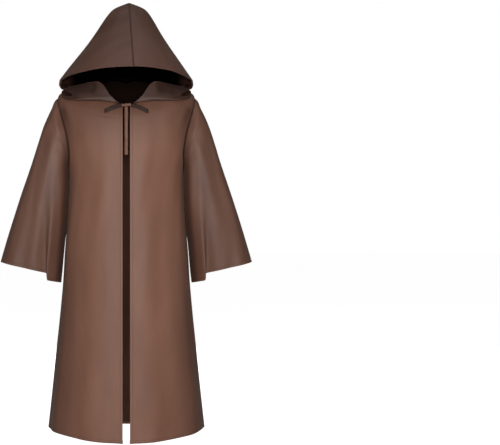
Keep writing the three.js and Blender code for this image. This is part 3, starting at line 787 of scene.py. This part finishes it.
# The softer folds: angle round the sleeve at the head and at the cuff, 0 is the outer end and 90 the
# front, first row, last row, spread, height, and the side it is on (0 is both)
SLEEVE_FOLDS = (
    (62, 50, 0.2, 5.4, 9.0, 0.0035, 0), (84, 78, 0.0, 5.4, 9.0, -0.0045, 0),
    (30, 22, 1.6, 5.4, 8.0, -0.0028, 1), (34, 30, 1.0, 5.4, 9.0, -0.0030, -1),
    (104, 98, -0.6, 2.6, 6.0, 0.0040, 0), (152, 158, 1.5, 5.4, 7.0, -0.0035, 1),
    (156, 150, 1.0, 5.4, 7.0, -0.0030, -1), (318, 322, 0.4, 5.4, 10.0, 0.0040, 1),
    (310, 316, 0.8, 5.4, 10.0, 0.0035, -1), (284, 290, 0.8, 5.4, 10.0, -0.0045, 0),
    (212, 206, 1.4, 5.4, 8.0, 0.0040, 0),
)


def sleeve_head(turn):
    """A sleeve's edge on the armhole, at the shoulder tip for 0 and under the arm for a half turn."""
    low = (1 - np.cos(turn)) / 2
    row = TIP_ROW + (UNDERARM_ROW - TIP_ROW) * low
    angle = math.pi / 2 - ARMHOLE_SPREAD * np.sin(turn)
    edge = body_point(row, angle, SEAM_GAP - SEAM_DRAW + 0.0008 * smooth_step(0.4, 1, low))
    middle = body_point((TIP_ROW + UNDERARM_ROW) / 2, math.pi / 2)[:3]
    out = edge[..., 3:]
    inwards = middle - edge[..., :3]
    inwards -= out * np.sum(inwards * out, axis=-1)[..., None]
    return edge[..., :3] - unit(inwards) * SEAM_LAP, out


def sleeve_shape(row, turn):
    """The sleeve from row 0 on: a slanted ring, with the long fold in front and a trough behind."""
    ring = read_rows(SLEEVE_RINGS, row)
    turn = turn % (2 * math.pi)
    lap = SLEEVE_LAP
    cuff_row = len(SLEEVE_RINGS) - 1
    strength = smooth_step(lap["top_row"], cuff_row, row)
    on_front = turn <= math.pi
    where = np.where(on_front, turn, 2 * math.pi - turn) / math.pi
    slanted = lap["where"] - lap["slant"] * (cuff_row - row) * smooth_step(-1, 1.5, row)
    bent = math.pi * where ** (np.log(slanted) / math.log(lap["where"]))
    used = np.where(on_front, bent, turn)
    c, s = np.cos(used), np.sin(used)
    reach = (np.abs(s) ** SLEEVE_ROUND + np.abs(c) ** SLEEVE_ROUND) ** (-1 / SLEEVE_ROUND)
    nothing = np.zeros_like(reach)
    half = np.stack([ring[..., 0] - ring[..., 2], nothing, ring[..., 1] - ring[..., 3]], axis=-1) / 2
    point = np.stack([ring[..., 0] + ring[..., 2], nothing, ring[..., 1] + ring[..., 3]], axis=-1) / 2
    point = point + half * (c * reach)[..., None]
    point[..., 1] += np.where(on_front, ring[..., 4] * s, -ring[..., 5] * s) * reach
    off = (where - lap["where"]) / lap["spread"]
    swing = np.where(on_front, off * np.exp(-off * off / 2), 0.0)
    point[..., 1] -= lap["step"] * strength * swing
    point += unit(half) * (lap["lap"] * strength * swing)[..., None]
    dropped = np.where(on_front, smooth_step(-1, 1, off), smooth_step(0.8, 1, where))
    point[..., 2] -= lap["drop"] * strength * dropped
    trough = SLEEVE_TROUGH["depth"] * hump(where - SLEEVE_TROUGH["where"], SLEEVE_TROUGH["spread"])
    point[..., 1] -= np.where(on_front, 0.0, trough)
    return point


def sleeve_plain(row, turn):
    """The sleeve without its softer folds. Row -1 is the armhole, from which it rises round to row 0."""
    row, turn = np.broadcast_arrays(np.asarray(row, float), np.asarray(turn, float))
    body = sleeve_shape(np.maximum(row, 0.0), turn)
    start, out = sleeve_head(turn)
    end = sleeve_shape(np.zeros_like(row), turn)
    span = np.linalg.norm(end - start, axis=-1)[..., None]
    rounded = 0.7 - 0.55 * smooth_step(0.75, 1.0, (1 - np.cos(turn)) / 2)
    leave = 0.8 * (end - start) + rounded[..., None] * span * out
    arrive = sleeve_shape(np.full_like(row, 0.05), turn) - end
    arrive = unit(arrive) * span
    t = np.clip(row + 1, 0.0, 1.0)[..., None]
    cap = ((2 * t ** 3 - 3 * t ** 2 + 1) * start + (t ** 3 - 2 * t ** 2 + t) * leave
           + (3 * t ** 2 - 2 * t ** 3) * end + (t ** 3 - t ** 2) * arrive)
    return np.where((row < 0)[..., None], cap, body)


def sleeve_lift(row, turn, side):
    lift = np.zeros(np.broadcast(row, turn).shape)
    degrees = np.degrees(turn) % 360
    for top, low, first, last, spread, height, only in SLEEVE_FOLDS:
        if only in (0, side):
            share = np.clip((row - first) / (last - first), 0.0, 1.0)
            middle = top + (low - top) * share + 1.5 * np.sin(1.9 * row + top * side)
            ends = 1 - smooth_step(last - 1, last, row) if last < 5 else 1.0
            lift += height * np.sqrt(share) * ends * hump((degrees - middle + 180) % 360 - 180, spread)
    ripple = 0.0007 * smooth_step(-1, 0.5, row) * np.sin(13 * turn + 1.4 * np.sin(1.7 * row + side) + side)
    return lift * smooth_step(-1, -0.4, row) + ripple


def surface_grid(shape, lift, rows, columns):
    """Places and outward directions of a shape, moved out by its lift. (rows, columns, 6)"""
    rows, columns = np.broadcast_arrays(rows[:, None], columns[None, :])
    step = 0.008
    down = shape(rows + step, columns) - shape(rows - step, columns)
    around = shape(rows, columns + step) - shape(rows, columns - step)
    out = np.cross(down, around)
    out /= np.maximum(np.linalg.norm(out, axis=-1)[..., None], 1e-12)
    return np.concatenate([shape(rows, columns) + out * lift(rows, columns)[..., None], out], axis=-1)


def other_side(sheet):
    """The mirror image of a grid, with its columns in the order that keeps its outside outside."""
    return (sheet * np.array([-1, 1, 1, -1, 1, 1, 1, 1]))[:, ::-1]


# Painted shade inside the sleeve, darker up from the cuff
def sleeve_depth(points):
    return smooth_step(-0.66, -0.45, points[:, 2])


def sleeve_painted_shade(points):
    """Painted shade between the long fold and the body and in the fold's own trough; the colour is also
    darker towards the cuff and behind.
    """
    x, y, z = np.abs(points[:, 0]), points[:, 1], points[:, 2]
    fold_x = np.interp(-z, [0.245, 0.43, 0.56, 0.70], [0.229, 0.235, 0.245, 0.257])
    below_head = smooth_step(-0.16, -0.26, z)
    inner = 0.68 * smooth_step(fold_x + 0.008, fold_x - 0.014, x) * below_head
    trough_x = np.interp(-z, [0.20, 0.45, 0.60], [0.282, 0.285, 0.294])
    trough = 0.26 * hump(x - trough_x, 0.009) * below_head * smooth_step(-0.66, -0.52, z) * (y < 0)
    cuff = 0.12 * smooth_step(-0.35, -0.60, z)
    behind = 0.25 * smooth_step(0.0, 0.03, y)
    return np.clip(inner + trough + cuff + behind, 0.0, 1.0)


sleeve_cloth = cloth_material("sleeve_cloth", SLEEVE_DARK, SLEEVE_LIGHT)
# The sleeves' inside is the same darker copy, painted shade
sleeve_inside = cloth_material("sleeve_cloth_inside", BODY_INSIDE, BODY_SHADE, deep_shade=BODY_DEEP_SHADE, gloss=0.0,
                               sheen=0.0)
sleeve_rows = np.concatenate([np.linspace(-1, 0, 19)[:-1], np.linspace(0, len(SLEEVE_RINGS) - 1, 111)])
sleeve_turns = np.linspace(-2 * math.pi, 0, 2 * ARMHOLE_STEPS + 1)
for sleeve_name, sleeve_side in (("right", 1), ("left", -1)):
    sleeve_grid = surface_grid(
        lambda row, turn: sleeve_plain(row, -turn), lambda row, turn: sleeve_lift(row, -turn, sleeve_side),
        sleeve_rows, sleeve_turns)
    sleeve_grid[:, -1] = sleeve_grid[:, 0]
    sleeve_sheet = marked(sleeve_grid, ("bottom",), ("top",))
    from_under = lengths_from(sleeve_sheet[..., :3], "first")
    from_under = np.abs(from_under - from_under[:, ARMHOLE_STEPS:ARMHOLE_STEPS + 1])
    sleeve_sheet[..., 7] = np.minimum(sleeve_sheet[..., 7], from_under)
    if sleeve_side < 0:
        sleeve_sheet = other_side(sleeve_sheet)
    sleeve_whole = np.concatenate([sleeve_sheet, turned_in(sleeve_sheet, "bottom", TURN_WIDTH)])
    sleeve = sheet_piece("cloth_sleeve_" + sleeve_name, [sleeve_whole], [sleeve_cloth, sleeve_inside],
                         sleeve_depth, sleeve_painted_shade)
    sleeve_line = line_inside(sleeve_sheet, "bottom", STITCH_LINE)
    sleeve_stitches = stitching(f"stitches_cuff_{sleeve_name}", [sleeve_line])
    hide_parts("sleeve_" + sleeve_name)

# Hood
# Two halves joined by one seam from the face over the tip to the nape, sewn to the neckline. The
# hood falls forward from the neckline over the shoulders, folds back on them and rises to its rim.
RIM_WIDTH = 0.011
HOOD_DARK = (0.078, 0.037, 0.026, 1.0)
HOOD_LIGHT = (0.105, 0.052, 0.037, 1.0)
HOOD_SHADE = (0.0020, 0.0012, 0.0010, 1.0)
# The closed rings of the upper hood, from the rim over the face to the tip:
# side_x, side_y, side_z, front_y, front_z, back_y, back_z, round
HOOD_RINGS = np.array([
    (0.243, -0.040, 0.008, -0.180, 0.043, 0.168, 0.128, 2.0),
    (0.221, -0.008, 0.044, -0.149, 0.084, 0.167, 0.152, 2.0),
    (0.190, 0.012, 0.090, -0.113, 0.127, 0.161, 0.182, 2.0),
    (0.157, 0.023, 0.138, -0.078, 0.168, 0.149, 0.210, 2.0),
    (0.122, 0.031, 0.192, -0.040, 0.212, 0.127, 0.240, 2.0),
    (0.084, 0.036, 0.251, -0.004, 0.258, 0.099, 0.268, 2.0),
    (0.055, 0.038, 0.284, 0.020, 0.285, 0.073, 0.289, 2.0),
    (0.000, 0.040, 0.307, 0.040, 0.307, 0.040, 0.307, 2.0),
])
# The lines of the lower hood, from the collar up to the corner of the rim, each at its edge by the
# face, the cheek, the side, the nape and the seam behind
HOOD_LINES = np.array([
    [(0.058, -0.124, -0.054), (0.168, -0.110, -0.060), (0.232, 0.002, -0.016), (0.150, 0.118, 0.022),
     (0, 0.144, 0.048)],
    [(0.108, -0.100, -0.001), (0.194, -0.076, -0.024), (0.235, 0.014, -0.009), (0.152, 0.126, 0.036),
     (0, 0.158, 0.068)],
    [(0.231, -0.044, -0.026), (0.239, 0.008, -0.005), (0.198, 0.086, 0.022), (0.112, 0.142, 0.064),
     (0, 0.166, 0.094)],
])
# Where the cloth folds back on the shoulders: angle from the middle of the front, row of the body
# and how far it stands off the body
COLLAR_FOLD = np.array([
    (12, 0.10, 0.005), (24, 0.70, 0.007), (44, 1.90, 0.007), (60, 2.55, 0.005), (76, 2.15, 0.004),
    (92, 1.85, 0.004), (120, 1.45, 0.008), (150, 0.60, 0.010), (180, 0.20, 0.010),
])
CORNER_ANGLE = math.radians(78)
HOOD_LEAN = {"tip": 0.012, "seam": 0.026, "tip_z": 0.307, "tip_y": 0.040, "reach": 0.220, "spread": 0.120,
             "from_z": 0.045}
# Small dents in the collar where it is pushed down: x, z, spread across, spread down, depth
COLLAR_DENTS = ((-0.122, -0.022, 0.007, 0.016, 0.004), (0.130, -0.018, 0.008, 0.015, 0.004),
                (-0.190, -0.036, 0.010, 0.010, 0.003), (0.178, -0.040, 0.010, 0.010, 0.003))
# How deep and how widely the seam between the halves is drawn in, and how far the halves lap there
HOOD_SEAM = {"draw": 0.0012, "spread": 0.0045, "lap": 0.0004}
hood_start = float(front_edge[0] + (front_seam[0] - front_edge[0]) / 10)


def upper_hood(place, angle):
    return ring_point(read_rows(HOOD_RINGS, place), angle)


def upper_lift(place, angle, side):
    """Behind, a soft ridge runs down beside the seam and turns out along the lower edge, with a
    trough outside it. In front the cloth is nearly smooth."""
    degrees = np.degrees(angle)
    beside = 180 - (5 + 1.3 * (5.5 - place) + (26 if side > 0 else 23) * np.exp(-place / 0.45))
    grown = smooth_step(6.2, 4.0, place) * smooth_step(120, 145, degrees)
    lift = grown * (0.0055 * hump(degrees - beside, 5.0) - 0.0050 * hump(degrees - beside + 15, 7.0))
    lift += 0.0030 * smooth_step(6.4, 5.0, place) * hump(degrees - (98 + 4 * side - 5 * place), 8.0)
    lift -= 0.0035 * smooth_step(6.0, 3.5, place) * hump(degrees - (70 + 3 * place), 9.0)
    lift += 0.0022 * smooth_step(5.5, 2.5, place) * hump(degrees - (33 + 5 * side), 9.0)
    return lift + 0.0005 * np.sin(9 * angle + side + 0.9 * place)


def lower_hood(place, share):
    """The lower hood outside: place 0 is the line of the rim, 3 the collar and 4 the fold."""
    place, share = np.broadcast_arrays(np.asarray(place, float), np.asarray(share, float))
    ring = np.broadcast_to(HOOD_RINGS[0], place.shape + (8,))
    lines = [ring_point(ring, CORNER_ANGLE + (math.pi - CORNER_ANGLE) * share)]
    lines += [read_rows(line, share * (len(line) - 1)) for line in HOOD_LINES[::-1]]
    lines += [collar_under(share, 0.0), collar_under(share, 1.0)]
    lines = np.stack(lines)
    last = len(lines) - 1
    row = np.clip(np.floor(place).astype(int), 0, last - 1)
    t = (place - row)[..., None]

    def line_at(step):
        return np.take_along_axis(lines, np.clip(row + step, 0, last)[None, ..., None], axis=0)[0]

    return curve(*(line_at(step) for step in (-1, 0, 1, 2)), t)


def collar_under(share, way):
    """The hidden layer that runs over the body from the fold, way 0, to the neckline, way 1."""
    share, way = np.broadcast_arrays(np.asarray(share, float), np.asarray(way, float))
    angle = hood_start + (math.pi - hood_start) * share
    degrees = np.degrees(angle)
    place = np.interp(degrees, COLLAR_FOLD[:, 0], np.arange(len(COLLAR_FOLD)))
    fold = read_rows(COLLAR_FOLD, place)
    lift = fold[..., 2] + (-0.0004 - fold[..., 2]) * way ** 3
    return body_point(fold[..., 1] * (1 - way), angle, lift)[..., :3]


def neck_binding(shares):
    """The hood's edge where it is sewn on: it goes over the neckline and lies 9 mm down inside."""
    angle = hood_start + (math.pi - hood_start) * shares
    step = 0.1
    down = body_shape(np.full_like(angle, step), angle) - body_shape(0 * angle, angle)
    per_row = np.linalg.norm(down, axis=-1) / step
    strip = ((-0.0006, -0.0006), (-0.0012, -0.0018), (-0.0004, -0.0034), (0.0030, -0.0036),
             (0.0090, -0.0036))
    return np.array([body_point(distance / per_row, angle, lift) for distance, lift in strip])


def lower_lift(place, share, side):
    point = lower_hood(place, share)
    lift = np.zeros(point.shape[:-1])
    for x, z, across, down, depth in COLLAR_DENTS:
        if x * side > 0:
            front = point[..., 1] < 0
            lift -= depth * front * hump(point[..., 0] - abs(x), across) * hump(point[..., 2] - z, down)
    gathered = smooth_step(0.55, 0.75, share) * smooth_step(0.0, 0.8, place) * smooth_step(4.0, 3.0, place)
    lift += 0.0035 * gathered * np.sin(31 * share + 1.2 * side) * smooth_step(1.0, 0.93, share)
    return lift


def drawn_in(grid, side):
    """The half of the hood on its own side, drawn in along its seam and leaning with the hood."""
    grid = grid.copy()
    seam = np.exp(-(grid[..., 7] / HOOD_SEAM["spread"]) ** 2)
    grid[..., :3] -= grid[..., 3:6] * (HOOD_SEAM["draw"] * seam)[..., None]
    grid[..., 0] = np.where(grid[..., 7] < 0.00001, -HOOD_SEAM["lap"], np.maximum(grid[..., 0], 0.0))
    if side < 0:
        grid = other_side(grid)
    lean = HOOD_LEAN
    up = np.maximum(0.0, grid[..., 2] - lean["from_z"]) / lean["tip_z"]
    forward = np.clip((lean["tip_y"] - grid[..., 1]) / lean["reach"], 0.0, 1.0)
    seam_share = forward * hump(grid[..., 0], lean["spread"]) * smooth_step(0, lean["from_z"], grid[..., 2])
    grid[..., 0] += lean["tip"] * up + lean["seam"] * seam_share
    return grid


def hood_depth(points):
    """How dark the inside is: little light falls past the rim, and less beyond the corners."""
    past_rim = smooth_step(-0.15, -0.07, points[:, 1] - 0.25 * points[:, 2])
    return past_rim * smooth_step(0.235, 0.190, np.abs(points[:, 0]))


def hood_painted_shade(points):
    """Painted shade on the collar and in the rim's shade; the colour is also darker towards the tip."""
    x, y, z = np.abs(points[:, 0]), points[:, 1], points[:, 2]
    collar = 0.70 * smooth_step(0.03, -0.02, z) * (1 - 0.6 * smooth_step(-0.062, -0.075, z) * (y < 0))
    under_rim = 0.9 * smooth_step(-0.060, -0.012, z) * smooth_step(0.03, 0.01, z) * (y < 0.03)
    under_rim *= smooth_step(0.100, 0.125, x) * smooth_step(0.236, 0.215, x)
    tip = 0.45 * smooth_step(0.10, 0.26, z)
    return np.clip(collar + under_rim + tip, 0.0, 1.0)


hood_cloth = cloth_material("hood_cloth", HOOD_DARK, HOOD_LIGHT, edge_highlight=0.0, seam=(0.005, 0.5))
hood_inside = cloth_material("hood_cloth_inside", HOOD_DARK, HOOD_LIGHT, deep_shade=HOOD_SHADE, gloss=0.0,
                             sheen=0.0)
RIM_COLUMNS = 44
hood_shares = close_at_ends(81, 0.5)
hood_angles = np.concatenate([
    np.linspace(0, 1, RIM_COLUMNS + 1)[:-1] ** 1.15 * CORNER_ANGLE,
    CORNER_ANGLE + (math.pi - CORNER_ANGLE) * hood_shares])
hood_places = np.concatenate([[7, 6.97, 6.93, 6.87], np.linspace(6.8, 0, 96)])
lower_places = np.linspace(0, 4, 74)
under_ways = np.linspace(0, 1, 15)[1:]
for hood_name, hood_side in (("right", 1), ("left", -1)):
    upper = surface_grid(
        lambda row, angle: upper_hood(-row, angle), lambda row, angle: upper_lift(-row, angle, hood_side),
        -hood_places, hood_angles)
    upper[0, :, 3:6] = (0.0, 0.0, 1.0)
    lower = surface_grid(lower_hood, lambda place, share: lower_lift(place, share, hood_side), lower_places,
                         hood_shares)
    under = surface_grid(lambda way, share: collar_under(share, way), lambda way, share: 0 * way, under_ways,
                         hood_shares)
    carried_on = upper[-1, RIM_COLUMNS:, :3] - lower[0, :, :3]
    lower[..., :3] += carried_on * smooth_step(1.4, 0.0, lower_places)[:, None, None]
    lower[0] = upper[-1, RIM_COLUMNS:]
    lower = np.concatenate([lower, under, neck_binding(hood_shares)])
    upper = marked(upper, (), ("first", "last"))
    lower = marked(lower, ("first",), ("last",))
    past_corner = lengths_from(upper[..., :3], "first")
    past_corner = np.maximum(0.0, past_corner - past_corner[:, RIM_COLUMNS:RIM_COLUMNS + 1])
    upper[..., 6] = np.hypot(lengths_from(upper[..., :3], "bottom"), past_corner)
    rim = upper[:, :RIM_COLUMNS + 1]
    rim_fold = np.concatenate([rim[-1:], turned_in(rim, "bottom", RIM_WIDTH)])
    face_fold = np.concatenate([turned_in(lower, "first", RIM_WIDTH), lower[:, :1]], axis=1)
    hood_grids = [drawn_in(grid, hood_side) for grid in (upper, lower, rim_fold, face_fold)]
    hood_half = sheet_piece("cloth_hood_" + hood_name, hood_grids, [hood_cloth, hood_inside],
                            hood_depth, hood_painted_shade)
    hood_lines = [drawn_in(line_inside(grid, edge, STITCH_LINE)[None], hood_side)[0]
                  for grid, edge in ((rim, "bottom"), (lower, "first"))]
    hood_stitches = stitching(f"stitches_hood_{hood_name}", hood_lines)
    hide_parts("hood_" + hood_name)

# Studio
# A plain white floor and daylight from large soft lamps: one in front beside the camera, one behind,
# weak ones on the sides and above. The white round the cape is the open studio, bright as its paper.
FLOOR_Z = -1.445
nothing_selected()
bpy.ops.mesh.primitive_plane_add(size=60, location=(0.0, 0.0, FLOOR_Z))
floor = bpy.context.object
floor.name = "studio_floor"
place_applied(floor)
paper, paper_tree, paper_shader = new_material("studio_paper")
paper_seen = new_node(paper_tree, "ShaderNodeLightPath").outputs["Is Camera Ray"]
fill(paper_tree, paper_shader, Base_Color=(0.35, 0.35, 0.35, 1.0), Roughness=0.9, Specular_IOR_Level=0.0,
     Emission_Color=(1.0, 1.0, 1.0, 1.0), Emission_Strength=maths(paper_tree, "MULTIPLY", paper_seen, 0.97))
floor.data.materials.append(paper)


def soft_lamp(name, place, aim, size, power):
    data = bpy.data.lights.new(name, "AREA")
    data.shape = "RECTANGLE"
    data.size, data.size_y = size
    data.energy = power
    lamp = bpy.data.objects.new(name, data)
    lamp.location = place
    way = np.array(aim, float) - np.array(place, float)
    flat = math.hypot(way[0], way[1])
    lamp.rotation_euler = (math.atan2(flat, -way[2]), 0.0, math.atan2(-way[0], way[1]))
    lamp.visible_camera = False
    bpy.context.scene.collection.objects.link(lamp)


soft_lamp("lamp_front", (0.0, -4.4, 0.1), (0.0, 0.0, -0.5), (1.2, 1.6), 185)
soft_lamp("lamp_back", (0.0, 4.4, 0.1), (0.0, 0.0, -0.5), (1.2, 1.6), 185)
soft_lamp("lamp_left", (-4.0, -1.2, 0.4), (0.0, 0.0, -0.5), (1.2, 2.0), 12)
soft_lamp("lamp_right", (4.0, -1.2, 0.4), (0.0, 0.0, -0.5), (1.2, 2.0), 12)
soft_lamp("lamp_above", (0.0, -0.6, 3.4), (0.0, 0.0, -0.5), (2.0, 2.0), 24)
studio = bpy.data.worlds.new("studio")
bpy.context.scene.world = studio
studio.use_nodes = True
sky = studio.node_tree
sky_light = fill(sky, sky.nodes["Background"], Color=(1.0, 1.0, 1.0, 1.0), Strength=0.05)
seen = new_node(sky, "ShaderNodeBackground", Color=(1.0, 1.0, 1.0, 1.0), Strength=1.0)
sky_seen = new_node(sky, "ShaderNodeLightPath").outputs["Is Camera Ray"]
either = new_node(sky, "ShaderNodeMixShader", i0=sky_seen, i1=sky_light.outputs[0], i2=seen.outputs[0])
sky.links.new(either.outputs[0], sky.nodes["World Output"].inputs["Surface"])
bpy.context.scene.view_settings.view_transform = "Standard"
